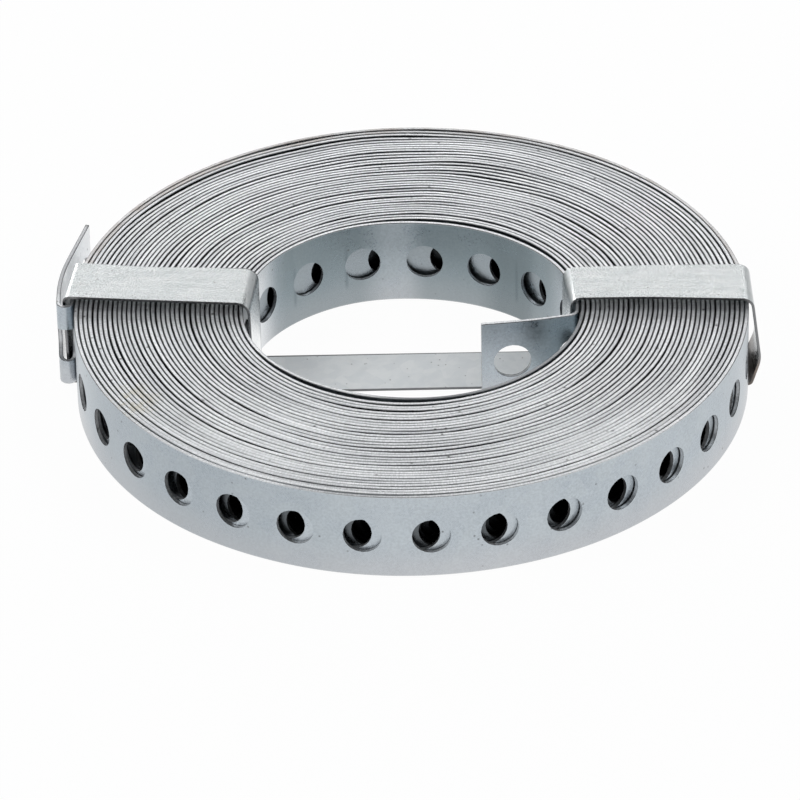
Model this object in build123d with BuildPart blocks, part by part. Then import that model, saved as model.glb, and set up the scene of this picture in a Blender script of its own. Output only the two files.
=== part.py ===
# Perforated steel strap in a coil, tied across its diameter with one thin binding strip.
# Millimetres, +Z up, coil axis on the Z axis, rest floor at z = 0, front of the coil at -Y.
import os
from math import cos, pi, radians, sin

from build123d import *

# Stock of the strap
STRAP_WIDTH = 17.0
STRAP_THICKNESS = 0.75
HOLE_DIAMETER = 7.0

# The wound coil
TURNS = 35
COIL_OUTER_RADIUS = 62.4
COIL_BORE_RADIUS = 29.9
TURNS_PER_RING = 5
RING_STEP = 0.4

# Row of holes on the outer turn and on the bore wall, angles counter-clockwise from +X
HOLE_PITCH = 12.36
OUTER_ROW_START = 205.0
OUTER_ROW_SWEEP = 322.0
BORE_ROW_START = -8.2
BORE_ROW_SWEEP = 330.0

# Inner end of the strap: a straight tail, bent away from the first turn at a hole
TAIL_ROOT_Y = -3.6
TAIL_LENGTH = 17.5
TAIL_LEAN = 12.1
TAIL_HOLE_FROM_TIP = 5.7

# Outer end of the strap, folded back on itself round the binding strip
HOOK_FOLD_Y = 3.6
HOOK_LEG_SPACING = 2.9
HOOK_ELBOW_Y = 10.0
HOOK_LEG_LENGTH = 20.2
HOOK_LEG_LEAN = 12.9

# Binding strip
BAND_WIDTH = 12.2
BAND_THICKNESS = 0.5
BAND_SEAT = 0.05
BAND_RISE = 1.2
BAND_STANDOFF = 0.9
BAND_LAYER_GAP = 0.1
BAND_TOP_BEND = 3.0
BAND_FOOT_BEND = 1.0
BAND_BULGE = 1.1
BAND_BULGE_HEIGHT = 5.0

# The strip runs askew over the left wall and nearly square to it over the right one
BAND_JOINT = (-20.0, 4.2)
BAND_LEFT_SKEW = -6.8
BAND_RIGHT_SKEW = -0.6

COIL_FOOT = BAND_THICKNESS + BAND_SEAT
COIL_TOP = COIL_FOOT + STRAP_WIDTH
HOLE_HEIGHT = COIL_FOOT + STRAP_WIDTH / 2
TURN_PITCH = (COIL_OUTER_RADIUS - COIL_BORE_RADIUS) / TURNS
LAST_TURN_RADIUS = COIL_OUTER_RADIUS - STRAP_THICKNESS / 2
FIRST_TURN_RADIUS = COIL_BORE_RADIUS + STRAP_THICKNESS / 2
HOLE_CUT_DEPTH = STRAP_THICKNESS + HOLE_DIAMETER / 8


def end_profile(face_z, inward):
    """Section of one end of the coil from bore to outside, its rings of turns proud and low by turns."""
    levels = (face_z, face_z + inward * RING_STEP)
    ring_edges = [COIL_BORE_RADIUS + TURN_PITCH * turn for turn in range(0, TURNS, TURNS_PER_RING)]
    ring_edges.append(COIL_OUTER_RADIUS)
    points = []
    for index in range(len(ring_edges) - 1):
        points.append((ring_edges[index], levels[index % 2]))
        points.append((ring_edges[index + 1], levels[index % 2]))
    return points


def radial_plane(radius, angle):
    """Plane across the strap at the height of its holes, facing away from the coil's axis."""
    outward = Vector(cos(radians(angle)), sin(radians(angle)), 0)
    return Plane(outward * radius + Vector(0, 0, HOLE_HEIGHT), x_dir=(0, 0, 1), z_dir=outward)


def hole_angles(start, row_sweep, radius):
    """Angles of the holes that sit one pitch apart along the strap at this radius."""
    step = 360 * HOLE_PITCH / (2 * pi * radius)
    return [start + index * step for index in range(int(row_sweep / step) + 1)]


def strap_section(path):
    """Plane square to the start of a path, with its x axis up, for the strap's section."""
    return Plane(path @ 0, x_dir=(0, 0, 1), z_dir=path % 0)


def half_chord(radius, offset):
    """Half the width of a circle at this distance from its middle."""
    return (radius**2 - offset**2) ** 0.5


def across_strap(centre, along):
    """Plane on the middle of the strap at this point, facing out of its flat side."""
    return Plane(centre, x_dir=(0, 0, 1), z_dir=along.cross(Vector(0, 0, 1)))


# Perforated strap
with BuildPart() as perforated_strap:
    # Inner end: the tail with its own hole and its half of the hole on the bend
    tail_root = Vector(half_chord(FIRST_TURN_RADIUS, TAIL_ROOT_Y), TAIL_ROOT_Y, HOLE_HEIGHT)
    tail_way = Vector(cos(radians(TAIL_LEAN)), sin(radians(TAIL_LEAN)), 0)
    tail_tip = tail_root - tail_way * TAIL_LENGTH
    with BuildLine():
        tail = Line(tail_tip, tail_root)
    with BuildSketch(strap_section(tail)):
        Rectangle(STRAP_WIDTH, STRAP_THICKNESS)
    sweep(path=tail)
    for from_tip in (TAIL_HOLE_FROM_TIP, TAIL_HOLE_FROM_TIP + HOLE_PITCH):
        with BuildSketch(across_strap(tail_tip + tail_way * from_tip, tail_way)):
            Circle(HOLE_DIAMETER / 2)
        extrude(amount=STRAP_THICKNESS, both=True, mode=Mode.SUBTRACT)

    # The wound body, turned, with rings on its ends for the edges of its turns
    with BuildSketch(Plane.XZ):
        with BuildLine():
            Polyline(
                *end_profile(COIL_FOOT, 1),
                *reversed(end_profile(COIL_TOP, -1)),
                close=True,
            )
        make_face()
    revolve(axis=Axis.Z)

    # Holes of the outer turn and of the bore wall, each one strap thickness deep
    for angle in hole_angles(OUTER_ROW_START, OUTER_ROW_SWEEP, LAST_TURN_RADIUS):
        with BuildSketch(radial_plane(COIL_OUTER_RADIUS - STRAP_THICKNESS, angle)):
            Circle(HOLE_DIAMETER / 2)
        extrude(amount=HOLE_CUT_DEPTH, mode=Mode.SUBTRACT)
    for angle in hole_angles(BORE_ROW_START, BORE_ROW_SWEEP, FIRST_TURN_RADIUS):
        with BuildSketch(radial_plane(COIL_BORE_RADIUS + STRAP_THICKNESS, angle)):
            Circle(HOLE_DIAMETER / 2)
        extrude(amount=-HOLE_CUT_DEPTH, mode=Mode.SUBTRACT)

    # Outer end: the last turn folds towards the front and runs back outside itself
    last_turn_x = -LAST_TURN_RADIUS
    leg_x = last_turn_x - HOOK_LEG_SPACING
    fold_tip = ((last_turn_x + leg_x) / 2, HOOK_FOLD_Y - HOOK_LEG_SPACING / 2, HOLE_HEIGHT)
    elbow = Vector(leg_x, HOOK_ELBOW_Y, HOLE_HEIGHT)
    leg_way = Vector(sin(radians(HOOK_LEG_LEAN)), cos(radians(HOOK_LEG_LEAN)), 0)
    with BuildLine() as hook_line:
        fold = ThreePointArc(
            (last_turn_x, HOOK_FOLD_Y, HOLE_HEIGHT),
            fold_tip,
            (leg_x, HOOK_FOLD_Y, HOLE_HEIGHT),
        )
        Polyline(fold @ 1, elbow, elbow + leg_way * HOOK_LEG_LENGTH)
    with BuildSketch(strap_section(fold)):
        Rectangle(STRAP_WIDTH, STRAP_THICKNESS)
    sweep(path=hook_line.line, transition=Transition.RIGHT)

    # The hole that falls on the fold opens it, down to the face of the turn below
    half_fold = HOOK_LEG_SPACING * pi / 4
    fold_hole_y = HOOK_FOLD_Y - half_fold
    with BuildSketch(Plane((leg_x - STRAP_THICKNESS, fold_hole_y, HOLE_HEIGHT), z_dir=(1, 0, 0))):
        Circle(HOLE_DIAMETER / 2)
    extrude(amount=HOOK_LEG_SPACING + 1.5 * STRAP_THICKNESS, mode=Mode.SUBTRACT)

    # The next two holes of the row lie in the leg
    for pitches in (1, 2):
        past_elbow = pitches * HOLE_PITCH - half_fold - (HOOK_ELBOW_Y - HOOK_FOLD_Y)
        with BuildSketch(across_strap(elbow + leg_way * past_elbow, leg_way)):
            Circle(HOLE_DIAMETER / 2)
        extrude(amount=STRAP_THICKNESS, both=True, mode=Mode.SUBTRACT)
perforated_strap.part.label = "perforated_strap"


def band_plane(skew):
    """Upright plane through the strip's joint point, turned by its skew about Z."""
    turn = radians(skew)
    origin = (*BAND_JOINT, 0)
    return Plane(origin, x_dir=(cos(turn), sin(turn), 0), z_dir=(sin(turn), -cos(turn), 0))


# Binding strip: one closed band over both walls, down into the bore and back under the coil
top_z = COIL_TOP + BAND_RISE + BAND_THICKNESS / 2
foot_z = BAND_THICKNESS / 2
cross_z = foot_z + BAND_THICKNESS + BAND_LAYER_GAP
skin = BAND_STANDOFF + BAND_THICKNESS / 2
lap = BAND_WIDTH / 2 * sin(radians(abs(BAND_LEFT_SKEW)))
bore_half = half_chord(COIL_BORE_RADIUS, BAND_JOINT[1] + BAND_WIDTH / 2)
left_bore = -bore_half + skin - BAND_JOINT[0]
left_side = -COIL_OUTER_RADIUS - skin + lap - BAND_JOINT[0]
right_bore = bore_half - skin - BAND_JOINT[0]
right_side = COIL_OUTER_RADIUS + skin - BAND_JOINT[0]
left_route = [
    (lap, cross_z),
    (left_bore, cross_z),
    (left_bore, top_z),
    (left_side, top_z),
    (left_side, foot_z),
    (lap, foot_z),
]
right_route = [
    (-lap, cross_z),
    (right_bore, cross_z),
    (right_bore, top_z),
    (right_side, top_z),
    (right_side + BAND_BULGE, BAND_BULGE_HEIGHT),
    (right_side, foot_z),
    (-lap, foot_z),
]
left_bends = [BAND_FOOT_BEND, BAND_TOP_BEND, BAND_TOP_BEND, BAND_FOOT_BEND]
right_bends = [BAND_FOOT_BEND, BAND_TOP_BEND, BAND_TOP_BEND, BAND_TOP_BEND, BAND_FOOT_BEND]

with BuildPart() as binding_strip:
    for skew, route, bends in (
        (BAND_LEFT_SKEW, left_route, left_bends),
        (BAND_RIGHT_SKEW, right_route, right_bends),
    ):
        plane = band_plane(skew)
        with BuildLine(plane) as band_line:
            FilletPolyline(*route, radius=bends)
        with BuildSketch(Plane(band_line.line @ 0, x_dir=plane.z_dir, z_dir=band_line.line % 0)):
            Rectangle(BAND_WIDTH, BAND_THICKNESS)
        sweep(path=band_line.line)
binding_strip.part.label = "binding_strip"

os.makedirs("parts", exist_ok=True)
export_step(perforated_strap.part, "parts/perforated_strap.step")
export_step(binding_strip.part, "parts/binding_strip.step")
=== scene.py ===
# Perforated steel strap wound into a coil, tied across its diameter with one binding strip.
# Metres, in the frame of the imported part: +Z up, coil axis on Z, front of the coil at -Y.
# Sizes of the strap and the strip are written in millimetres and scaled where a mesh is made.
from bisect import bisect_right
from math import atan2, cos, exp, hypot, pi, radians, sin, tan

import bpy
from mathutils import Matrix, Vector, noise


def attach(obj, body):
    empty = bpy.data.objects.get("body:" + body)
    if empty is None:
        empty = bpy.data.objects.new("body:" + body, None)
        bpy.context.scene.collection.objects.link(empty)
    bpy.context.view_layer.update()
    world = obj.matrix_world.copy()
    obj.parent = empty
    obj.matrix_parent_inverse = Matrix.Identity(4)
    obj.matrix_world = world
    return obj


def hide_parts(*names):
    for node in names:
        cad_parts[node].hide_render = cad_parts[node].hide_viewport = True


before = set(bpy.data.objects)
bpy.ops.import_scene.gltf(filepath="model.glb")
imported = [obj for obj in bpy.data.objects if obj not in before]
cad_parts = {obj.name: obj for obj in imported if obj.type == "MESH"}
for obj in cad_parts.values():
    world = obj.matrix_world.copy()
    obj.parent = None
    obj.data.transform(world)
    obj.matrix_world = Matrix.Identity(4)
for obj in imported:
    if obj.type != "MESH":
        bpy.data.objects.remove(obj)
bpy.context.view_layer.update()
MM = 0.001

# Strap stock: HOLE_FRAME is half the side of the square of mesh that each hole is cut in
STRAP_WIDTH = 17.0
STRAP_THICKNESS = 0.75
EDGE_BREAK = 0.1
HOLE_RADIUS = 3.5
HOLE_PITCH = 12.36
HOLE_FRAME = 4.55

# Winding, by angle along it, counter-clockwise from +X. The plan is drawn about the middle of
# the coil as the photograph shows it and then moved along Y by PLAN_SHIFT_Y. LEAST_GAP is left
# where two turns all but touch, and MOST_PUSH limits how wide noise makes a gap.
COIL_FOOT = 0.55
PLAN_SHIFT_Y = -0.25
TURNS = 35
TURN_PITCH = 0.93
SECOND_TURN_RADIUS = 30.36
LAST_TURN_RADIUS = 61.9
START_ANGLE = -5
END_ANGLE = 177 + 360 * TURNS
LEAST_GAP = 0.03
MOST_PUSH = 1.5

# Tail in the bore, in plan: its tip, a point on its way and the bend into the first turn
TAIL_TIP = (13.0, -6.62)
TAIL_MIDDLE = (22.4, -5.45)
TAIL_HEADING = 9.5
TAIL_BEND_RADIUS = 1.5
TAIL_BEND_STEPS = 12

# Hook at the outer end, in plan: the fold and the line of its leg beside the coil. The leg's own
# look starts PAST_FOLD beyond the middle of the fold.
FOLD_STEPS = 20
LEG_X = -64.9
LEG_LINE = [(-64.88, 8.4), (-64.45, 13.0), (-63.45, 18.0), (-60.5, 29.3)]
PAST_FOLD = 2.6

# Places of the holes: the first ones on the bore wall by their angles, then in even steps close
# to these lengths, shorter for three turns than in the turns after them
TAIL_HOLE_FROM_TIP = 5.7
BORE_HOLES = (15.4, 37.6, 60.6, 84.0, 107.5, 129.8)
INNER_ROW_START = 151.9
INNER_HOLE_STEP = 11.84
MIDDLE_HOLE_STEP = 12.17

# Holes of the three outermost turns, in degrees, set so that they overlap as seen from the front
FRONT_ROW_START = 204.3
FRONT_ROW_SHIFTS = (1.27, -1.72, 0.0)
FRONT_HOLE_STEP = 11.4
FRONT_HOLES = 12
BACK_HOLES = (19, 20)

# Sides of a hole on a bend, of one that shows and of one deep in the coil
BENT_SIDES, SHOWN_SIDES, HIDDEN_SIDES = 56, 24, 12

# Binding strip, whose edges are set by BAND_CORNERS; the last two are the widths across it that
# its painted highlight lines and the painted shade on its narrow sides are measured to
BAND_THICKNESS = 0.5
BAND_EDGE_BREAK = 0.08
BAND_LINE_WIDTH = 11.8
BAND_SIDE_WIDTH = 11.6


# ---------------------------------------------------------------- winding of the strap

def smooth_noise(x, y):
    """Noise between about -1 and 1 that changes over one unit."""
    return noise.noise(Vector((x, y, 0.0))) * 1.9


def ease(start, end, value):
    """0 before start, 1 after end, and a smooth rise between."""
    t = min(max((value - start) / (end - start), 0), 1)
    return t * t * (3 - 2 * t)


def second_turn(angle):
    """Middle-line radius of the second turn, which is slightly egg-shaped."""
    t = radians(angle)
    oval = 0.115 * cos(t) - 0.757 * sin(t) + 0.43 * cos(2 * t) - 0.09 * sin(2 * t)
    oval += 0.11 * sin(3 * t)
    return SECOND_TURN_RADIUS + TURN_PITCH * angle / 360 + oval


def first_turn(angle):
    """Middle-line radius of the first turn, slack at the back right and along the front."""
    past_back = ease(80, 118, angle)
    back_slack = 0.1 + 0.42 * ease(16, 50, angle) * (1 - past_back) - 0.1 * past_back
    front_slack = 0.84 * ease(196, 246, angle) * (1 - 0.62 * ease(252, 296, angle))
    front_slack *= 1 - ease(320, 355, angle)
    return second_turn(angle) - back_slack - front_slack


def last_turn_face(angle):
    """Radius of the outer face of the last turn, by its angle along the strap."""
    return LAST_TURN_RADIUS + TURN_PITCH * (angle - (END_ANGLE - 360)) / 360


def gap_weight(angle):
    """Share of the spare room that the gap outside the strap takes at this angle along it."""
    front_back = sin(radians(angle)) ** 2
    push = (0.9 + 0.8 * front_back) * smooth_noise(radians(angle) * 1.1, 3.7)
    push += (0.3 + 0.35 * front_back) * smooth_noise(radians(angle) * 2.9, 9.1)
    # The outer turns are tight, but the outermost four hang loose at the back
    tight_outer = 0.8 * front_back * ease(360 * 20, 360 * 33, angle)
    loose_back = 1.9 * max(sin(radians(angle)), 0) ** 2 * ease(360 * 31, 360 * 32.2, angle)
    return exp(min(push, MOST_PUSH - loose_back / 2) - tight_outer + loose_back)


def wind():
    """Middle-line radius of the strap at every whole degree along it."""
    first, last = START_ANGLE, END_ANGLE
    radius = {angle: first_turn(angle) for angle in range(first, first + 360)}
    for theta in range(360):
        turns = range((theta - first) % 360 + first, last + 1, 360)[1:]
        inner = second_turn(turns[0])
        outer = last_turn_face(turns[-1]) - STRAP_THICKNESS / 2
        weights = [gap_weight(a) for a in turns[:-1]]
        spare = outer - inner - (STRAP_THICKNESS + LEAST_GAP) * len(weights)
        scale = spare / sum(weights)
        reach = inner
        for angle, weight in zip(turns, weights + [0]):
            radius[angle] = reach
            reach += STRAP_THICKNESS + LEAST_GAP + weight * scale
    return [radius[a] for a in range(first, last + 1)]


def arc(centre_x, centre_y, radius, start, end, steps):
    """Points of an arc in plan, from one angle to another."""
    return [
        (centre_x + radius * cos(radians(start + (end - start) * i / steps)),
         centre_y + radius * sin(radians(start + (end - start) * i / steps)))
        for i in range(steps + 1)
    ]


def curve_through(points, steps):
    """Points of a smooth curve through the given ones."""
    ends = [points[0], *points, points[-1]]
    out = []
    for i in range(1, len(ends) - 2):
        p0, p1, p2, p3 = (Vector(p) for p in ends[i - 1:i + 3])
        for k in range(steps):
            t = k / steps
            out.append(tuple(
                0.5 * ((2 * p1) + (p2 - p0) * t + (2 * p0 - 5 * p1 + 4 * p2 - p3) * t * t
                       + (3 * p1 - p0 - 3 * p2 + p3) * t ** 3)
            ))
    out.append(tuple(points[-1]))
    return out


class StrapRoute:
    """Plan of the strap's middle line, by length along the strap from the tail's tip."""

    def __init__(self):
        spiral = [
            (r * cos(radians(START_ANGLE + i)), r * sin(radians(START_ANGLE + i)))
            for i, r in enumerate(wind())
        ]
        # Tail: nearly straight from its tip, then a tight bend into the first turn
        start_x, start_y = spiral[0]
        first_heading = START_ANGLE + 90
        centre_x = start_x - TAIL_BEND_RADIUS * sin(radians(first_heading))
        centre_y = start_y + TAIL_BEND_RADIUS * cos(radians(first_heading))
        bend = arc(centre_x, centre_y, TAIL_BEND_RADIUS,
                   TAIL_HEADING - 90, first_heading - 90, TAIL_BEND_STEPS)
        tail = curve_through([TAIL_TIP, TAIL_MIDDLE, bend[0]], 14)[:-1]
        # Hook: the end folds outward round the binding strip and runs back beside the coil
        end_x, end_y = spiral[-1]
        fold_radius = (end_x - LEG_X) / 2
        fold = arc(end_x - fold_radius, end_y, fold_radius, 0, -180, FOLD_STEPS)
        leg = curve_through([(LEG_X, end_y), *LEG_LINE], 12)
        plan = tail + bend[:-1] + spiral + fold[1:] + leg[1:]
        self.points = [(x, y + PLAN_SHIFT_Y) for x, y in plan]
        self.spiral_index = len(tail) + len(bend) - 1
        bend_index = len(tail) + TAIL_BEND_STEPS // 2
        fold_index = self.spiral_index + len(spiral) - 1 + FOLD_STEPS // 2
        self.lengths = [0.0]
        for a, b in zip(self.points, self.points[1:]):
            self.lengths.append(self.lengths[-1] + hypot(b[0] - a[0], b[1] - a[1]))
        self.tail_bend = self.lengths[bend_index]
        self.fold = self.lengths[fold_index]
        self.outward = []
        last = len(self.points) - 1
        for i in range(last + 1):
            a, b = self.points[max(i - 1, 0)], self.points[min(i + 1, last)]
            run = hypot(b[0] - a[0], b[1] - a[1])
            self.outward.append(((b[1] - a[1]) / run, -(b[0] - a[0]) / run))

    def length_at(self, angle):
        """Length along the strap at an angle along the spiral."""
        place = angle - START_ANGLE + self.spiral_index
        i = int(place)
        return self.lengths[i] + (place - i) * (self.lengths[i + 1] - self.lengths[i])

    def at(self, length):
        """Middle-line point and outward direction at a length along the strap."""
        i = min(max(bisect_right(self.lengths, length) - 1, 0), len(self.points) - 2)
        t = (length - self.lengths[i]) / (self.lengths[i + 1] - self.lengths[i])
        (x0, y0), (x1, y1) = self.points[i], self.points[i + 1]
        (u0, v0), (u1, v1) = self.outward[i], self.outward[i + 1]
        u, v = u0 + (u1 - u0) * t, v0 + (v1 - v0) * t
        size = hypot(u, v)
        return x0 + (x1 - x0) * t, y0 + (y1 - y0) * t, u / size, v / size


route = StrapRoute()


def turn_height(length):
    """How far this turn stands above the coil's foot."""
    return 0.05 + 0.07 * smooth_noise(length / 90, 8.3) + 0.04 * smooth_noise(length / 23, 1.9)


def evenly(start, end, gaps):
    """Lengths from start, in equal steps, up to but not including end."""
    return [start + (end - start) * i / gaps for i in range(gaps)]


def evenly_near(start, end, step):
    """The same, with steps as near to a wished length as fit."""
    return evenly(start, end, round((end - start) / step))


def hole_row():
    """Lengths along the strap of its hole centres."""
    row = [TAIL_HOLE_FROM_TIP, route.tail_bend]
    row += [route.length_at(a) for a in BORE_HOLES]
    sweep = FRONT_HOLES * FRONT_HOLE_STEP
    starts, ends = [], []
    for k, shift in enumerate(FRONT_ROW_SHIFTS):
        turned = 360 * (TURNS - 3 + k)
        starts.append(route.length_at(FRONT_ROW_START + shift + turned))
        ends.append(route.length_at(FRONT_ROW_START + shift + sweep + turned))
    inner = route.length_at(INNER_ROW_START)
    middle = route.length_at(INNER_ROW_START + 360 * 3)
    row += evenly_near(inner, middle, INNER_HOLE_STEP)
    row += evenly_near(middle, starts[0], MIDDLE_HOLE_STEP)
    for k in range(3):
        row += evenly(starts[k], ends[k], FRONT_HOLES)
        if k < 2:
            row += evenly(ends[k], starts[k + 1], BACK_HOLES[k])
    row += evenly_near(ends[2], route.fold, HOLE_PITCH)
    row += [route.fold + HOLE_PITCH * k for k in range(3)]
    return row


# ---------------------------------------------------------------- mesh of the strap

class MeshLists:
    """Vertices, faces, face finishes and face-corner coordinates of one mesh."""

    def __init__(self):
        self.verts, self.faces, self.finish = [], [], []
        self.layers = {"face_plan": [], "edge_plan": []}

    def point(self, position, face_plan, edge_plan):
        """Add a vertex with its metres along and across the face, and along and across the edge."""
        self.verts.append(position)
        self.layers["face_plan"].append(face_plan)
        self.layers["edge_plan"].append(edge_plan)
        return len(self.verts) - 1

    def face(self, corners, finish=0):
        """Add a face with its finish, by the number of the material."""
        self.faces.append(corners)
        self.finish.append(finish)

    def ring_of_faces(self, first, second, finish, way=1):
        """Join two closed loops of as many vertices; way -1 turns the faces over."""
        for i in range(len(first)):
            j = (i + 1) % len(first)
            self.face((first[i], first[j], second[j], second[i])[::way], finish)

    def build(self, name, materials, sharp):
        """Object of this mesh, smooth but for edges sharper than an angle."""
        mesh = bpy.data.meshes.new(name)
        mesh.from_pydata([(x * MM, y * MM, z * MM) for x, y, z in self.verts], [], self.faces)
        for layer, plan in self.layers.items():
            coords = [value for face in self.faces for corner in face for value in plan[corner]]
            mesh.uv_layers.new(name=layer).data.foreach_set("uv", coords)
        for material in materials:
            mesh.materials.append(material)
        mesh.polygons.foreach_set("material_index", self.finish)
        mesh.polygons.foreach_set("use_smooth", [True] * len(self.faces))
        mesh.set_sharp_from_angle(angle=radians(sharp))
        mesh.validate()
        mesh.update()
        piece = bpy.data.objects.new(name, mesh)
        bpy.context.scene.collection.objects.link(piece)
        return piece


# Finishes of the strap, by the number of the material
ROLLED, CUT = 0, 1


def strap_point(lists, length, depth, height):
    """Vertex at a length along the strap, a depth from its inner face and a height up it."""
    x, y, u, v = route.at(length)
    off = depth - STRAP_THICKNESS / 2
    z = COIL_FOOT + turn_height(length) + height
    along = length * MM
    return lists.point((x + u * off, y + v * off, z), (along, height * MM), (along, depth * MM))


def strap_column(lists, length):
    """The twelve vertices of the strap's section at one length."""
    t, w, e = STRAP_THICKNESS, STRAP_WIDTH, EDGE_BREAK
    low, high = w / 2 - HOLE_FRAME, w / 2 + HOLE_FRAME
    inner = [strap_point(lists, length, 0, h) for h in (e, low, high, w - e)]
    outer = [strap_point(lists, length, t, h) for h in (e, low, high, w - e)]
    top = [strap_point(lists, length, d, w) for d in (e, t - e)]
    foot = [strap_point(lists, length, d, 0) for d in (e, t - e)]
    return {"inner": inner, "outer": outer, "top": top, "foot": foot}


def long_faces(lists, a, b):
    """Faces between two columns: both sides below and above the row of holes, and both edges."""
    ai, bi, ao, bo = a["inner"], b["inner"], a["outer"], b["outer"]
    at, bt, af, bf = a["top"], b["top"], a["foot"], b["foot"]
    for k in (0, 2):
        lists.face((bi[k], ai[k], ai[k + 1], bi[k + 1]), ROLLED)
        lists.face((ao[k], bo[k], bo[k + 1], ao[k + 1]), ROLLED)
    rim = ((ai[3], bi[3]), (at[0], bt[0]), (at[1], bt[1]), (ao[3], bo[3]))
    sole = ((ao[0], bo[0]), (af[1], bf[1]), (af[0], bf[0]), (ai[0], bi[0]))
    for loop in (rim, sole):
        for (p, q), (r, s) in zip(loop, loop[1:]):
            lists.face((q, s, r, p), CUT)


def hole_rings(lists, columns, side, depth, stops, centre):
    """Vertices of the square frame round one hole and of the hole's own edge, on one side."""
    n = len(stops) - 1
    mid = STRAP_WIDTH / 2
    low, high, size = mid - HOLE_FRAME, mid + HOLE_FRAME, 2 * HOLE_FRAME
    frame_ring, hole_ring = [], []
    for index in range(4 * n):
        part, k = divmod(index, n)
        if part == 0:
            s, h = stops[k], low
            vertex = columns[k + 1][side][1]
        elif part == 1:
            s, h = stops[n], low + size * k / n
            vertex = columns[n + 1][side][1] if k == 0 else strap_point(lists, s, depth, h)
        elif part == 2:
            s, h = stops[n - k], high
            vertex = columns[n - k + 1][side][2]
        else:
            s, h = stops[0], high - size * k / n
            vertex = columns[1][side][2] if k == 0 else strap_point(lists, s, depth, h)
        frame_ring.append(vertex)
        around = atan2(h - mid, s - centre)
        hole_s = centre + HOLE_RADIUS * cos(around)
        hole_h = mid + HOLE_RADIUS * sin(around)
        hole_ring.append(strap_point(lists, hole_s, depth, hole_h))
    return frame_ring, hole_ring


def strap_cell(lists, start_column, centre, end, sides):
    """One pitch of the strap round one hole; returns the column at its end."""
    n = sides // 4
    stops = [centre - HOLE_FRAME + 2 * HOLE_FRAME * i / n for i in range(n + 1)]
    columns = [start_column] + [strap_column(lists, s) for s in [*stops, end]]
    for a, b in zip(columns, columns[1:]):
        long_faces(lists, a, b)
    hole_edges = {}
    for side, depth in (("inner", 0.0), ("outer", STRAP_THICKNESS)):
        frame_ring, hole_ring = hole_rings(lists, columns, side, depth, stops, centre)
        way = 1 if side == "outer" else -1
        lists.ring_of_faces(frame_ring, hole_ring, ROLLED, way)
        # The plain metal before and after the square frame of the hole
        before, first, last, after = (columns[c][side] for c in (0, 1, n + 1, n + 2))
        left = [before[1], first[1], *frame_ring[:3 * n:-1], first[2], before[2]]
        right = [last[1], after[1], after[2], *frame_ring[2 * n:n:-1]]
        for loop in (left, right):
            lists.face(loop[::way], ROLLED)
        hole_edges[side] = hole_ring
    lists.ring_of_faces(hole_edges["outer"], hole_edges["inner"], CUT)
    return columns[-1]


def end_cap(lists, column, way):
    """Sheared end of the strap; way is -1 at its start and 1 at its end."""
    foot, top = column["foot"], column["top"]
    loop = [foot[0], foot[1], *column["outer"], top[1], top[0], *column["inner"][::-1]]
    lists.face(loop[::way], CUT)


def make_strap(materials):
    """The whole strap, one pitch at a time from the tail's tip to the end of the hook."""
    row = hole_row()
    lists = MeshLists()
    cell_ends = [(a + b) / 2 for a, b in zip(row, row[1:])] + [route.lengths[-1]]
    column = strap_column(lists, 0.0)
    end_cap(lists, column, -1)
    inner_turns = route.length_at(START_ANGLE + 360 * 3)
    outer_turns = route.length_at(END_ANGLE - 360 * 3)
    for centre, end in zip(row, cell_ends):
        if centre in (route.tail_bend, route.fold):
            sides = BENT_SIDES
        elif inner_turns <= centre <= outer_turns:
            sides = HIDDEN_SIDES
        else:
            sides = SHOWN_SIDES
        column = strap_cell(lists, column, centre, end, sides)
    end_cap(lists, column, 1)
    return lists.build("coiled_strap", materials, 35)


# ---------------------------------------------------------------- binding strip

def filleted(points, radii, steps):
    """Closed 3-D polyline with each corner rounded to its radius in the given number of steps."""
    out = []
    count = len(points)
    for i in range(count):
        before, here, after = (Vector(points[j % count]) for j in (i - 1, i, i + 1))
        a, b = (before - here).normalized(), (after - here).normalized()
        half = a.angle(b) / 2
        reach = radii[i] / tan(half)
        start, end = here + a * reach, here + b * reach
        centre = here + (a + b).normalized() * (radii[i] / sin(half))
        turn = pi - 2 * half
        u, v = start - centre, end - centre
        for k in range(steps[i] + 1):
            t = k / steps[i]
            out.append(centre + (u * sin((1 - t) * turn) + v * sin(t * turn)) / sin(turn))
    return out


# Corners of the strip's two edges, in order round the loop: x, y of the front edge, x, y of the
# back edge, height of each edge, radius of the bend and steps in it
BAND_CORNERS = [
    ((-29.3, -2.75), (-28.1, 9.2), 0.85, 0.85, 1.0, 5),
    ((29.4, -2.75), (28.45, 8.95), 0.85, 0.85, 1.0, 5),
    ((29.75, -1.0), (28.65, 9.4), 18.95, 19.0, 1.9, 8),
    ((44.0, -1.0), (44.0, 9.75), 18.85, 18.95, 60.0, 3),
    ((62.95, -2.4), (62.6, 9.35), 18.9, 19.0, 2.0, 9),
    ((64.6, -1.45), (64.4, 9.2), 5.0, 5.0, 5.0, 5),
    ((62.9, -2.4), (62.7, 9.2), 0.25, 0.25, 0.8, 5),
    ((30.0, -1.5), (30.0, 9.9), 0.25, 0.25, 60.0, 2),
    ((-26.0, -1.5), (-26.0, 10.0), 0.25, 0.25, 25.0, 3),
    ((-63.5, 3.1), (-62.0, 13.9), 0.25, 0.25, 0.8, 5),
    ((-63.9, 3.0), (-62.1, 14.4), 18.85, 19.0, 1.0, 6),
    ((-48.0, 1.2), (-48.0, 12.4), 18.9, 19.0, 60.0, 3),
    ((-29.7, -0.6), (-28.2, 11.2), 18.9, 19.0, 2.4, 9),
]


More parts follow.
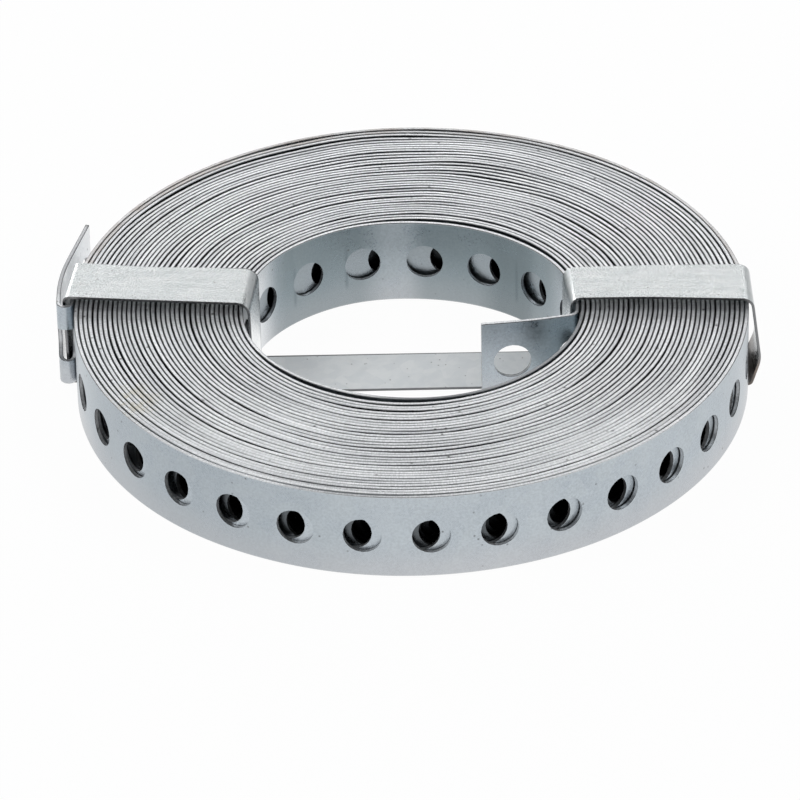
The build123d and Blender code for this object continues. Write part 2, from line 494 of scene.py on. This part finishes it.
def band_section(front, back, way):
    """Points round the strip's section between its two edges, each with its place across."""
    e, half = BAND_EDGE_BREAK, BAND_THICKNESS / 2
    width = back - front
    size = width.length
    up = way.cross(width).normalized()
    side = width / size
    flat = [(front + side * (size * share), share * size) for share in (0.0, 0.25, 0.5, 0.75, 1.0)]
    flat[0] = (front + side * e, e)
    flat[-1] = (back - side * e, size - e)
    return [
        (front + up * (e - half), 0.0),
        *((p - up * half, w) for p, w in flat),
        (back + up * (e - half), size),
        (back - up * (e - half), size),
        *((p + up * half, w) for p, w in reversed(flat)),
        (front - up * (e - half), 0.0),
    ]


def make_band(material):
    """Binding strip: one closed band over both walls, down into the bore and back underneath."""
    front_corners, back_corners, front_heights, back_heights, radii, steps = zip(*BAND_CORNERS)
    front, back = (
        filleted([(x, y + PLAN_SHIFT_Y, z) for (x, y), z in zip(corners, heights)], radii, steps)
        for corners, heights in ((front_corners, front_heights), (back_corners, back_heights))
    )
    count = len(front)
    lists = MeshLists()
    rings = []
    along = 0.0
    for i in range(count):
        after = (i + 1) % count
        way = (front[after] + back[after]) - (front[i - 1] + back[i - 1])
        section = band_section(front[i], back[i], way)
        plans = [(along * MM, across * MM) for _, across in section]
        rings.append([lists.point(tuple(p), plan, plan) for (p, _), plan in zip(section, plans)])
        along += (front[after] - front[i]).length
    for i in range(count):
        here, ahead = rings[i], rings[(i + 1) % count]
        for k in range(len(here)):
            m = (k + 1) % len(here)
            lists.face((here[m], ahead[m], ahead[k], here[k]))
    return lists.build("binding_band", [material], 40)


# ---------------------------------------------------------------- nodes of the finishes

def connect(tree, socket, value):
    """Feed a socket from another socket, or set it to a plain value."""
    if isinstance(value, bpy.types.NodeSocket):
        tree.links.new(value, socket)
    else:
        socket.default_value = value


def add(tree, kind, inputs=None, **settings):
    """New node with its settings and its inputs, each a plain value or a socket to link from."""
    node = tree.nodes.new(kind)
    for name, value in settings.items():
        setattr(node, name, value)
    for name, value in (inputs or {}).items():
        connect(tree, node.inputs[name], value)
    return node


def maths(tree, operation, *values):
    """Result of a Math node on sockets or numbers."""
    return add(tree, "ShaderNodeMath", dict(enumerate(values)), operation=operation).outputs[0]


def product(tree, first, *others):
    """All the values multiplied together."""
    for value in others:
        first = maths(tree, "MULTIPLY", first, value)
    return first


def opposite(tree, mask):
    """1 where the mask is 0, and 0 where it is 1."""
    return maths(tree, "SUBTRACT", 1.0, mask)


def scaled(tree, value, factor, start):
    """The value times a factor, on top of a start."""
    return maths(tree, "MULTIPLY_ADD", value, factor, start)


def blend(tree, factor, first, second, how="MIX"):
    """Colour mixed from the first to the second by a factor."""
    node = add(tree, "ShaderNodeMix", data_type="RGBA", blend_type=how)
    for index, value in ((0, factor), (6, first), (7, second)):
        connect(tree, node.inputs[index], value)
    return node.outputs[2]


def tint(tree, colour, mask, share, paint):
    """Colour with a paint laid over it, by a share of the mask."""
    return blend(tree, maths(tree, "MULTIPLY", mask, share), colour, paint)


def step_up(tree, value, low, high):
    """0 below low, 1 above high, and a smooth rise between."""
    node = add(tree, "ShaderNodeMapRange", {"Value": value, "From Min": low, "From Max": high})
    node.interpolation_type = "SMOOTHSTEP"
    return node.outputs["Result"]


def step_down(tree, value, low, high):
    """1 below low, 0 above high, and a smooth fall between."""
    return opposite(tree, step_up(tree, value, low, high))


def part_way(tree, value, low, rise, fall, high):
    """0 below low, 1 from rise to fall and 0 above high."""
    risen = step_up(tree, value, low, rise)
    return maths(tree, "SUBTRACT", risen, step_up(tree, value, fall, high))


def patches(tree, where, stretch, scale, detail, roughness):
    """Noise, finer or coarser along each axis by its stretch."""
    spread = add(tree, "ShaderNodeVectorMath", {0: where, 1: stretch}, operation="MULTIPLY")
    return add(tree, "ShaderNodeTexNoise", {
        "Vector": spread.outputs[0], "Scale": scale, "Detail": detail, "Roughness": roughness,
    }).outputs[0]


def parts_of(tree, vector):
    """X, Y and Z of a vector."""
    return add(tree, "ShaderNodeSeparateXYZ", {0: vector}).outputs


def effect(name, inputs, outputs):
    """Empty node group with named inputs (kind, value) and outputs (kind)."""
    tree = bpy.data.node_groups.new(name, "ShaderNodeTree")
    for label, (kind, value) in inputs.items():
        socket = tree.interface.new_socket(label, in_out="INPUT", socket_type="NodeSocket" + kind)
        if value is not None:
            socket.default_value = value
    for label, kind in outputs.items():
        tree.interface.new_socket(label, in_out="OUTPUT", socket_type="NodeSocket" + kind)
    return tree, tree.nodes.new("NodeGroupInput").outputs, tree.nodes.new("NodeGroupOutput").inputs


def use(tree, group, **inputs):
    """Place an effect in a material; underscores in names stand for spaces."""
    node = add(tree, "ShaderNodeGroup", node_tree=group)
    for label, value in inputs.items():
        connect(tree, node.inputs[label.replace("_", " ")], value)
    return node.outputs


# ---------------------------------------------------------------- effects that finishes share

def zinc_bloom_effect():
    """Dull and bright patches of a zinc coat over fine grain."""
    tree, given, gives = effect(
        "zinc_bloom",
        {"Where": ("Vector", None), "Patch Size": ("Float", 0.004),
         "Grain Size": ("Float", 0.0004)},
        {"Bloom": "Float", "Grain": "Float"},
    )
    coarse = add(tree, "ShaderNodeTexNoise", {
        "Vector": given["Where"], "Scale": maths(tree, "DIVIDE", 1.0, given["Patch Size"]),
        "Detail": 4.0, "Roughness": 0.62, "Distortion": 0.6,
    })
    crystal = add(tree, "ShaderNodeTexVoronoi", {
        "Vector": given["Where"], "Scale": maths(tree, "DIVIDE", 1.6, given["Patch Size"]),
        "Randomness": 1.0,
    })
    tone = add(tree, "ShaderNodeSeparateColor", {"Color": crystal.outputs["Color"]})
    mixed = maths(tree, "ADD", product(tree, coarse.outputs[0], 0.75),
                  product(tree, tone.outputs[0], 0.25))
    tree.links.new(step_up(tree, mixed, 0.3, 0.72), gives["Bloom"])
    fine = add(tree, "ShaderNodeTexNoise", {
        "Vector": given["Where"], "Scale": maths(tree, "DIVIDE", 1.0, given["Grain Size"]),
        "Detail": 2.0, "Roughness": 0.6,
    })
    tree.links.new(step_up(tree, fine.outputs[0], 0.3, 0.7), gives["Grain"])
    return tree


def roll_marks_effect():
    """Faint lines of the rolling mill along the stock and press marks across it."""
    tree, given, gives = effect(
        "roll_marks",
        {"Plan": ("Vector", None), "Line Spacing": ("Float", 0.0006),
         "Mark Spacing": ("Float", 0.004)},
        {"Lines": "Float", "Marks": "Float"},
    )
    per_line = maths(tree, "DIVIDE", 1.0, given["Line Spacing"])
    lines = patches(tree, given["Plan"], (0.03, 1.0, 1.0), per_line, 3.0, 0.65)
    tree.links.new(step_up(tree, lines, 0.32, 0.68), gives["Lines"])
    per_mark = maths(tree, "DIVIDE", 1.0, given["Mark Spacing"])
    marks = patches(tree, given["Plan"], (1.0, 0.06, 1.0), per_mark, 2.5, 0.7)
    tree.links.new(step_up(tree, marks, 0.6, 0.74), gives["Marks"])
    return tree


def specks_effect():
    """Small dark specks of dirt and a few wider smudges."""
    tree, given, gives = effect(
        "dirt_specks",
        {"Where": ("Vector", None), "Speck Size": ("Float", 0.0007), "Amount": ("Float", 0.5)},
        {"Specks": "Float", "Smudge": "Float"},
    )
    dots = add(tree, "ShaderNodeTexVoronoi", {
        "Vector": given["Where"], "Scale": maths(tree, "DIVIDE", 0.45, given["Speck Size"]),
        "Randomness": 1.0,
    })
    reach = add(tree, "ShaderNodeMapRange", {
        "Value": dots.outputs["Distance"], "From Min": 0.22, "From Max": 0.06,
    })
    chance = add(tree, "ShaderNodeSeparateColor", {"Color": dots.outputs["Color"]})
    limit = opposite(tree, product(tree, given["Amount"], 0.25))
    chosen = maths(tree, "GREATER_THAN", chance.outputs[1], limit)
    tree.links.new(product(tree, reach.outputs["Result"], chosen), gives["Specks"])
    wide = patches(tree, given["Where"], (1, 1, 1), 90.0, 4.0, 0.7)
    tree.links.new(step_up(tree, wide, 0.58, 0.78), gives["Smudge"])
    return tree


def edge_line_effect():
    """Mask of a narrow strip beside both edges of the stock."""
    tree, given, gives = effect(
        "edge_line",
        {"Across": ("Float", 0.0), "Width": ("Float", 0.017), "Reach": ("Float", 0.0005)},
        {"Edge": "Float"},
    )
    other = maths(tree, "SUBTRACT", given["Width"], given["Across"])
    near = maths(tree, "MINIMUM", given["Across"], other)
    share = maths(tree, "DIVIDE", near, given["Reach"])
    tree.links.new(step_down(tree, share, 0.0, 1.0), gives["Edge"])
    return tree


def on_strap(angle):
    """Metres along the strap at an angle along its winding."""
    return route.length_at(angle) * MM


def deep_turns_shade_effect():
    """Mask of painted shade on turns that only show through the holes of others, fainter in the
    third from outside.
    """
    tree, given, gives = effect("deep_turns_shade", {"Along": ("Float", 0.0)}, {"Inside": "Float"})
    along = given["Along"]
    start = step_up(tree, along, on_strap(START_ANGLE + 700), on_strap(START_ANGLE + 720))
    third = step_up(tree, along, on_strap(END_ANGLE - 1090), on_strap(END_ANGLE - 1070))
    second = step_up(tree, along, on_strap(END_ANGLE - 730), on_strap(END_ANGLE - 710))
    shown = maths(tree, "ADD", product(tree, third, 0.2), product(tree, second, 0.8))
    tree.links.new(maths(tree, "SUBTRACT", start, shown), gives["Inside"])
    return tree


def hook_leg_effect():
    """The hook's leg, from a little past the middle of its fold."""
    tree, given, gives = effect(
        "hook_leg", {"Along": ("Float", 0.0), "Fade": ("Float", 0.002)}, {"Leg": "Float"})
    leg_start = (route.fold + PAST_FOLD) * MM
    leg_full = maths(tree, "ADD", given["Fade"], leg_start)
    tree.links.new(step_up(tree, given["Along"], leg_start, leg_full), gives["Leg"])
    return tree


zinc_bloom = zinc_bloom_effect()
roll_marks = roll_marks_effect()
dirt_specks = specks_effect()
edge_line = edge_line_effect()
deep_turns_shade = deep_turns_shade_effect()
hook_leg = hook_leg_effect()


def between(tree, along, *angles):
    """Mask over four angles of the winding: rising to the second, falling from the third."""
    return part_way(tree, along, *(on_strap(a) for a in angles))


def before_end(tree, along, *angles):
    """The same for four angles counted back from the end of the winding."""
    return between(tree, along, *(END_ANGLE - a for a in angles))


# ---------------------------------------------------------------- finishes

# Painted shade for the turns deep in the coil
PAINTED_DEEP_SHADE = (0.008, 0.009, 0.01, 1)
# Painted shade of the bore wall's reflections
BORE_PAINTED_SHADE = (0.12, 0.17, 0.185, 1)
# Thin dark lines on the bore wall: painted reflection stripes
PAINTED_REFLECTION_LINE = (0.12, 0.15, 0.17, 1)
REFLECTION_LINE_ANGLES = (46.4, 113.7, 135.8)


def start_material(name):
    """Metal with its shader, object position, face plan and edge plan."""
    material = bpy.data.materials.new(name)
    material.use_nodes = True
    tree = material.node_tree
    shader = tree.nodes["Principled BSDF"]
    shader.inputs["Metallic"].default_value = 1.0
    where = add(tree, "ShaderNodeTexCoord").outputs["Object"]
    face_plan = add(tree, "ShaderNodeUVMap", uv_map="face_plan").outputs["UV"]
    edge_plan = add(tree, "ShaderNodeUVMap", uv_map="edge_plan").outputs["UV"]
    return material, tree, shader, where, face_plan, edge_plan


def finish_surface(tree, shader, colour, roughness, height, relief):
    """Feed the shader with colour, roughness and relief."""
    bump = add(tree, "ShaderNodeBump", {"Height": height, "Strength": 1.0, "Distance": relief})
    tree.links.new(colour, shader.inputs["Base Color"])
    tree.links.new(roughness, shader.inputs["Roughness"])
    tree.links.new(bump.outputs["Normal"], shader.inputs["Normal"])


def bore_wall_painted_light(tree, plan, colour):
    """Bore wall: painted reflection and shade, darker towards the top, with a painted bright streak
    at the back, a painted near-white left end, three thin dark painted reflection lines and painted
    shade at its right and on the second turn.
    """
    along, up = plan["X"], plan["Y"]
    # Painted reflection: dark over most of the wall, lighter in a streak at the back, darker
    # towards the top
    painted_bright_streak = between(tree, along, 82, 93, 97, 110)
    painted_shade = product(tree, between(tree, along, 12, 34, 138, 158), scaled(tree, painted_bright_streak, -0.68, 1.0))
    rise = scaled(tree, step_up(tree, up, 0.001, 0.011), 0.16, 0.5)
    colour = tint(tree, colour, painted_shade, rise, BORE_PAINTED_SHADE)
    # Three thin dark lines: painted reflection stripes
    for angle in REFLECTION_LINE_ANGLES:
        middle = on_strap(angle)
        reflection_line = part_way(tree, along, middle - 0.0006, middle, middle, middle + 0.0006)
        reach = part_way(tree, up, 0.003, 0.005, 0.010, 0.0145)
        colour = tint(tree, colour, product(tree, reflection_line, reach), 0.4, PAINTED_REFLECTION_LINE)
    # Painted shade at the right of the bore wall and on the second turn behind it
    painted_deep_shade = maths(tree, "ADD", between(tree, along, 34, 44, 52, 66),
                 between(tree, along, 360, 375, 700, 715))
    colour = tint(tree, colour, painted_deep_shade, 0.38, (0.10, 0.13, 0.14, 1))
    # Painted highlight: the left end of the bore wall near white
    painted_bright_end = between(tree, along, 144, 163, 190, 200)
    return tint(tree, colour, painted_bright_end, 0.9, (0.94, 0.955, 0.965, 1))


def strap_sheet_material():
    """Rolled faces of the strap: cool grey zinc with roll lines, press marks and specks."""
    material, tree, shader, where, face_plan, _ = start_material("strap_sheet_zinc")
    plan = parts_of(tree, face_plan)
    along, up = plan["X"], plan["Y"]
    bloom = use(tree, zinc_bloom, Where=where, Patch_Size=0.006, Grain_Size=0.00045)
    marks = use(tree, roll_marks, Plan=face_plan, Line_Spacing=0.0009, Mark_Spacing=0.005)
    dirt = use(tree, dirt_specks, Where=where, Speck_Size=0.0006, Amount=0.35)
    edge = use(tree, edge_line, Across=up, Width=STRAP_WIDTH * MM, Reach=0.00035)["Edge"]
    colour = blend(tree, bloom["Bloom"], (0.44, 0.49, 0.535, 1), (0.49, 0.54, 0.575, 1))
    colour = blend(tree, 1.0, colour, scaled(tree, bloom["Grain"], 0.22, 0.88), "MULTIPLY")
    colour = tint(tree, colour, marks["Lines"], 0.16, (0.40, 0.44, 0.47, 1))
    colour = tint(tree, colour, marks["Marks"], 0.28, (0.24, 0.28, 0.31, 1))
    cloud = step_up(tree, patches(tree, face_plan, (1.0, 0.45, 1), 45.0, 3.0, 0.55), 0.35, 0.65)
    colour = tint(tree, colour, cloud, 0.3, (0.60, 0.64, 0.67, 1))
    # Warmer and paler towards the foot, and duller at the left of the last turn
    colour = tint(tree, colour, step_down(tree, up, 0.0, 0.008), 0.35, (0.62, 0.59, 0.59, 1))
    left = before_end(tree, along, 345, 330, 300, 262)
    colour = tint(tree, colour, left, 0.3, (0.26, 0.30, 0.33, 1))
    colour = bore_wall_painted_light(tree, plan, colour)
    # The tail is darker and teal from near its tip to its bend: painted shade
    tail_painted_shade = part_way(tree, along, 0.004, 0.015, 0.0185, 0.020)
    colour = tint(tree, colour, tail_painted_shade, 0.32, (0.12, 0.20, 0.20, 1))
    # The hook's leg is made bright on its inner side, a painted reflection, and the turns deep in
    # the coil are made dark, a painted shade
    facing = parts_of(tree, add(tree, "ShaderNodeNewGeometry").outputs["Normal"])
    leg = product(tree, use(tree, hook_leg, Along=along, Fade=0.002)["Leg"],
                  step_up(tree, facing["X"], -0.1, 0.1))
    colour = tint(tree, colour, leg, 0.95, (0.95, 0.96, 0.97, 1))
    # Painted shade on the turns deep in the coil
    inside = use(tree, deep_turns_shade, Along=along)["Inside"]
    colour = tint(tree, colour, inside, 0.96, PAINTED_DEEP_SHADE)
    colour = tint(tree, colour, dirt["Smudge"], 0.07, (0.30, 0.32, 0.33, 1))
    colour = tint(tree, colour, dirt["Specks"], 0.75, (0.12, 0.12, 0.12, 1))
    colour = tint(tree, colour, edge, 0.4, (0.74, 0.75, 0.76, 1))
    roughness = maths(tree, "ADD", scaled(tree, bloom["Grain"], 0.10, 0.24),
                      product(tree, bloom["Bloom"], 0.06))
    height = maths(tree, "ADD", product(tree, bloom["Grain"], 0.5),
                   product(tree, marks["Lines"], 0.5))
    finish_surface(tree, shader, colour, roughness, height, 0.000006)
    return material


def outermost_turns_finish(tree, along, back, bloom, colour):
    """Brownish tarnish on the cut edges of the outermost turns at the back, and painted shade that
    darkens them at the back.
    """
    rust = product(tree, before_end(tree, along, 500, 420, 12, 0), step_up(tree, back, 0.004, 0.02),
                   scaled(tree, bloom, 0.5, 0.15))
    colour = blend(tree, rust, colour, (0.40, 0.34, 0.30, 1))
    # Painted shade: the outermost turns darker at the back
    painted_shade = product(tree, before_end(tree, along, 1900, 1500, 12, 0),
                   step_up(tree, back, 0.025, 0.055))
    return tint(tree, colour, painted_shade, 0.22, (0.22, 0.23, 0.24, 1))


def strap_edge_material():
    """Slit edges, punched hole walls and sheared ends: bright metal, with painted shade beside the
    gaps.
    """
    material, tree, shader, where, _, edge_plan = start_material("strap_cut_edge")
    along, across, _ = parts_of(tree, edge_plan)
    place = parts_of(tree, where)
    bloom = use(tree, zinc_bloom, Where=where, Patch_Size=0.009, Grain_Size=0.0003)
    dirt = use(tree, dirt_specks, Where=where, Speck_Size=0.0008, Amount=0.5)
    edge = use(tree, edge_line, Across=across, Width=STRAP_THICKNESS * MM, Reach=0.00022)["Edge"]
    by_turn = patches(tree, edge_plan, (1, 0.2, 1), 22.0, 4.0, 0.6)
    shear = patches(tree, edge_plan, (1, 0.12, 1), 2600.0, 2.0, 0.6)
    colour = blend(tree, step_up(tree, by_turn, 0.34, 0.66),
                   (0.66, 0.675, 0.69, 1), (0.93, 0.94, 0.95, 1))
    colour = tint(tree, colour, bloom["Bloom"], 0.3, (0.68, 0.69, 0.71, 1))
    fleck = scaled(tree, step_up(tree, shear, 0.3, 0.7), 0.24, 0.86)
    colour = blend(tree, 1.0, colour, fleck, "MULTIPLY")
    # The first turn's edge is darker along the front of the bore: painted shade
    pale = product(tree, step_up(tree, along, on_strap(280), on_strap(305)), 0.22)
    painted_shade = product(tree, between(tree, along, 247, 268, 345, 362), opposite(tree, pale))
    colour = tint(tree, colour, painted_shade, 0.85, (0.12, 0.13, 0.14, 1))
    # Painted shade lies beside the gaps, thinner along the front; inside the holes painted shade
    # covers the walls of the turns deep in the coil
    front = step_down(tree, place["Y"], -0.042, -0.018)
    gap_shade = product(tree, edge, scaled(tree, front, -0.62, 0.94))
    colour = blend(tree, gap_shade, colour, (0.05, 0.053, 0.06, 1))
    # Painted shade on the walls of the turns deep in the coil
    hole_walls = part_way(tree, place["Z"], 0.002, 0.003, 0.0150, 0.0165)
    buried = product(tree, use(tree, deep_turns_shade, Along=along)["Inside"], hole_walls)
    colour = tint(tree, colour, buried, 0.96, PAINTED_DEEP_SHADE)
    # The hook leg's cut edges are darker: painted shade
    leg = use(tree, hook_leg, Along=along, Fade=0.004)["Leg"]
    colour = tint(tree, colour, leg, 0.4, (0.14, 0.14, 0.15, 1))
    colour = outermost_turns_finish(tree, along, place["Y"], bloom["Bloom"], colour)
    # One smear of dirt at the left front
    away = add(tree, "ShaderNodeVectorMath", {0: where, 1: (-0.0505, -0.0300, 0.0175)},
               operation="DISTANCE").outputs["Value"]
    broken = step_up(tree, patches(tree, where, (1, 1, 1), 600.0, 3.0, 0.7), 0.42, 0.6)
    smear = product(tree, step_down(tree, away, 0.002, 0.007), broken)
    colour = tint(tree, colour, smear, 0.85, (0.62, 0.60, 0.52, 1))
    colour = tint(tree, colour, dirt["Smudge"], 0.22, (0.33, 0.32, 0.31, 1))
    colour = tint(tree, colour, dirt["Specks"], 0.8, (0.06, 0.06, 0.06, 1))
    finish_surface(tree, shader, colour, scaled(tree, shear, 0.16, 0.42), shear, 0.00002)
    return material


def band_material():
    """Thin binding strip: pale mottled zinc with painted highlights along its edges, painted shade
    on its narrow sides, and painted shade with a brown tarnish low on its outer runs.
    """
    material, tree, shader, where, face_plan, _ = start_material("band_zinc")
    plan = parts_of(tree, face_plan)
    place = parts_of(tree, where)
    bloom = use(tree, zinc_bloom, Where=where, Patch_Size=0.0034, Grain_Size=0.0003)
    marks = use(tree, roll_marks, Plan=face_plan, Line_Spacing=0.0007, Mark_Spacing=0.009)
    dirt = use(tree, dirt_specks, Where=where, Speck_Size=0.00042, Amount=0.8)
    streaks = step_up(tree, patches(tree, face_plan, (0.1, 1, 1), 900.0, 4.0, 0.65), 0.32, 0.68)
    edge = use(tree, edge_line, Across=plan["Y"], Width=BAND_LINE_WIDTH * MM, Reach=0.0003)["Edge"]
    tone = maths(tree, "MULTIPLY_ADD", bloom["Bloom"], 0.5, product(tree, streaks, 0.5))
    colour = blend(tree, tone, (0.70, 0.735, 0.74, 1), (0.84, 0.86, 0.86, 1))
    colour = blend(tree, 1.0, colour, scaled(tree, bloom["Grain"], 0.08, 0.96), "MULTIPLY")
    colour = tint(tree, colour, marks["Lines"], 0.16, (0.42, 0.44, 0.45, 1))
    # Paler down in the bore: a painted reflection on the inner runs and pale zinc on the run across
    # it; painted shade over the bends at the top
    from_middle = maths(tree, "ABSOLUTE", place["X"])
    inner = step_down(tree, from_middle, 0.0296, 0.0304)
    pale_zinc_and_painted_reflection = product(tree, inner, step_down(tree, place["Z"], 0.0170, 0.0185))
    pale = blend(tree, bloom["Bloom"], (0.89, 0.91, 0.92, 1), (0.98, 0.99, 0.99, 1))
    colour = tint(tree, colour, pale_zinc_and_painted_reflection, 0.9, pale)
    # Painted shade over the bends at the top, inside and outside the coil
    bend = product(tree, maths(tree, "ADD", inner, step_up(tree, from_middle, 0.0606, 0.0622)),
                   part_way(tree, place["Z"], 0.0172, 0.0184, 0.0188, 0.0192))
    colour = tint(tree, colour, bend, 0.35, (0.26, 0.28, 0.29, 1))
    colour = tint(tree, colour, dirt["Smudge"], 0.12, (0.50, 0.45, 0.38, 1))
    colour = tint(tree, colour, dirt["Specks"], 0.7, (0.12, 0.11, 0.10, 1))
    # Painted highlight along both edges
    colour = tint(tree, colour, edge, 0.6, (0.86, 0.86, 0.86, 1))
    # Painted shade on its narrow sides, and painted shade with a brown tarnish where the outer runs
    # come near the ground
    far_side = maths(tree, "SUBTRACT", BAND_SIDE_WIDTH * MM, plan["Y"])
    side = step_down(tree, maths(tree, "MINIMUM", plan["Y"], far_side), 0.00004, 0.00016)
    colour = tint(tree, colour, side, 0.8, (0.08, 0.08, 0.085, 1))
    # Painted shade with a brown tarnish low on the outer runs
    outer = step_up(tree, from_middle, 0.0615, 0.063)
    low_shade_and_tarnish = product(tree, outer, step_down(tree, place["Z"], 0.0025, 0.0065))
    colour = tint(tree, colour, low_shade_and_tarnish, 0.75, (0.22, 0.17, 0.14, 1))
    # White zinc bloom lies on the run across the bore
    crossing = step_down(tree, place["Z"], 0.0012, 0.003)
    tree.links.new(scaled(tree, crossing, -0.9, 1.0), shader.inputs["Metallic"])
    roughness = scaled(tree, bloom["Grain"], 0.08, 0.22)
    roughness = scaled(tree, crossing, 0.25, roughness)
    roughness = scaled(tree, bend, 0.25, roughness)
    height = maths(tree, "ADD", product(tree, bloom["Grain"], 0.6),
                   product(tree, bloom["Bloom"], 0.4))
    finish_surface(tree, shader, colour, roughness, height, 0.000004)
    return material


# ---------------------------------------------------------------- the two pieces

strap = make_strap([strap_sheet_material(), strap_edge_material()])
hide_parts("perforated_strap")
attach(strap, "root")

band = make_band(band_material())
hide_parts("binding_strip")
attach(band, "root")


# ---------------------------------------------------------------- floor, light and camera

FLOOR_REACH = 3.0
WHITE = (1, 1, 1, 1)


def shown_rays(tree):
    """1 for the rays that should meet the plain white studio: seen, mirrored or let through."""
    path = add(tree, "ShaderNodeLightPath").outputs
    seen = maths(tree, "MAXIMUM", path["Is Camera Ray"], path["Is Glossy Ray"])
    return maths(tree, "MAXIMUM", seen, path["Is Transmission Ray"])


def mix_to_output(tree, share, first, second, output):
    """Mix two shaders by a share and feed the output with them."""
    mix = add(tree, "ShaderNodeMixShader", {0: share, 1: first.outputs[0], 2: second.outputs[0]})
    add(tree, output, {0: mix.outputs[0]})


def make_floor():
    """Plain white floor that keeps a soft shadow."""
    mesh = bpy.data.meshes.new("floor")
    edge = FLOOR_REACH
    corners = [(-edge, -edge, 0), (edge, -edge, 0), (edge, edge, 0), (-edge, edge, 0)]
    mesh.from_pydata(corners, [], [(0, 1, 2, 3)])
    floor = bpy.data.objects.new("floor", mesh)
    bpy.context.scene.collection.objects.link(floor)
    material = bpy.data.materials.new("floor_white")
    material.use_nodes = True
    tree = material.node_tree
    tree.nodes.clear()
    paper = add(tree, "ShaderNodeBsdfDiffuse", {"Color": (0.9, 0.9, 0.9, 1)})
    white = add(tree, "ShaderNodeEmission", {"Strength": 1.0})
    share = product(tree, shown_rays(tree), 0.965)
    mix_to_output(tree, share, paper, white, "ShaderNodeOutputMaterial")
    mesh.materials.append(material)


def make_world():
    """Soft room light; the white backdrop reaches a third of the way up and the ceiling is dim."""
    world = bpy.data.worlds.new("studio")
    bpy.context.scene.world = world
    world.use_nodes = True
    tree = world.node_tree
    tree.nodes.clear()
    room = add(tree, "ShaderNodeBackground", {"Color": (0.93, 0.97, 1.0, 1), "Strength": 0.4})
    way = parts_of(tree, add(tree, "ShaderNodeTexCoord").outputs["Generated"])
    height = step_up(tree, way["Z"], 0.1, 0.35)
    backdrop = add(tree, "ShaderNodeBackground", {
        "Color": blend(tree, height, WHITE, (0.13, 0.135, 0.14, 1)), "Strength": 1.0,
    })
    mix_to_output(tree, shown_rays(tree), room, backdrop, "ShaderNodeOutputWorld")


def softbox(name, place, width, height, power):
    """Rectangular area lamp that points at the coil."""
    lamp = bpy.data.lights.new(name, "AREA")
    lamp.shape = "RECTANGLE"
    lamp.size, lamp.size_y = width, height
    lamp.energy = power
    holder = bpy.data.objects.new(name, lamp)
    bpy.context.scene.collection.objects.link(holder)
    holder.location = place
    holder.rotation_euler = (-Vector(place)).to_track_quat("-Z", "Y").to_euler()


def make_camera():
    """Camera at the height, distance and slight tilt of the photograph."""
    pitch, yaw, roll = 0.5905, -0.0021, -0.0209
    place = (0, -1.0416947 + PLAN_SHIFT_Y * MM, 0.6949149)
    ahead = Vector((sin(yaw) * cos(pitch), cos(yaw) * cos(pitch), -sin(pitch)))
    right = ahead.cross(Vector((0, 0, 1))).normalized()
    up = right.cross(ahead)
    level_right = right * cos(roll) + up * sin(roll)
    level_up = up * cos(roll) - right * sin(roll)
    camera = bpy.data.cameras.new("camera")
    camera.sensor_fit = "HORIZONTAL"
    camera.angle = radians(6.787)
    camera.clip_start = 0.05
    holder = bpy.data.objects.new("camera", camera)
    bpy.context.scene.collection.objects.link(holder)
    turn = Matrix((level_right, level_up, -ahead)).transposed().to_4x4()
    holder.matrix_world = Matrix.Translation(place) @ turn
    bpy.context.scene.camera = holder


make_floor()
make_world()
softbox("low_back_light", (-0.12, 1.4, 0.32), 1.6, 0.36, 10.4)
softbox("high_back_light", (0.0, 1.12, 0.83), 1.3, 0.36, 1.2)
softbox("left_top_light", (-0.9, -0.3, 1.0), 0.7, 0.7, 4.9)
softbox("right_top_light", (0.95, -0.25, 1.0), 0.7, 0.7, 4.3)
make_camera()
bpy.context.scene.view_settings.view_transform = "Standard"
